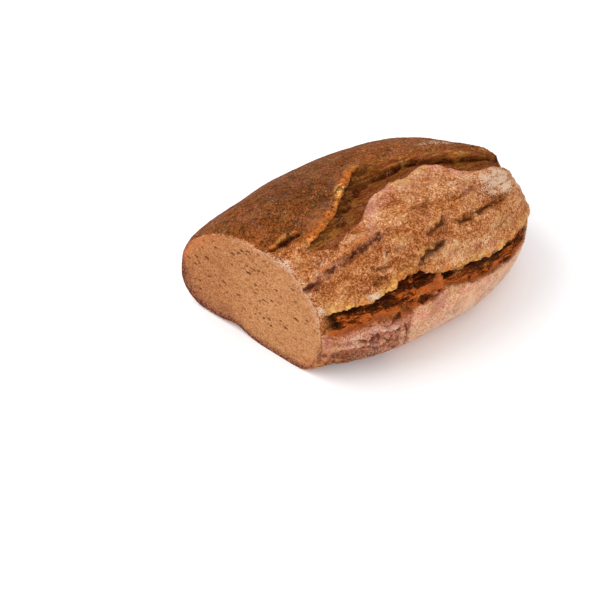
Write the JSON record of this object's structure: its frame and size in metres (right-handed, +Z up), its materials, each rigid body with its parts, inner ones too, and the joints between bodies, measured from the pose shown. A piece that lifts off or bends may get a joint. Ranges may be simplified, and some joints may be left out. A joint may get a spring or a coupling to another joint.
{
  "type": "cut rye bread loaf",
  "caption": "Hearth-baked oval bread loaf with a torn crust, a flat base and its near end sliced off to show the crumb, resting on a surface as food",
  "frame": {"origin": "the middle of the footprint's bounding box, on the surface the loaf stands on", "axes": "+X along the loaf from the cut face to the rounded heel, +Y towards the smooth back, -Y towards the front with the long side tear, +Z up"},
  "size_m": [0.2308, 0.156, 0.1028],
  "materials": {
    "bread": "matte"
  },
  "bodies": {
    "root": {"loaf": "bread"}
  },
  "joints": []
}
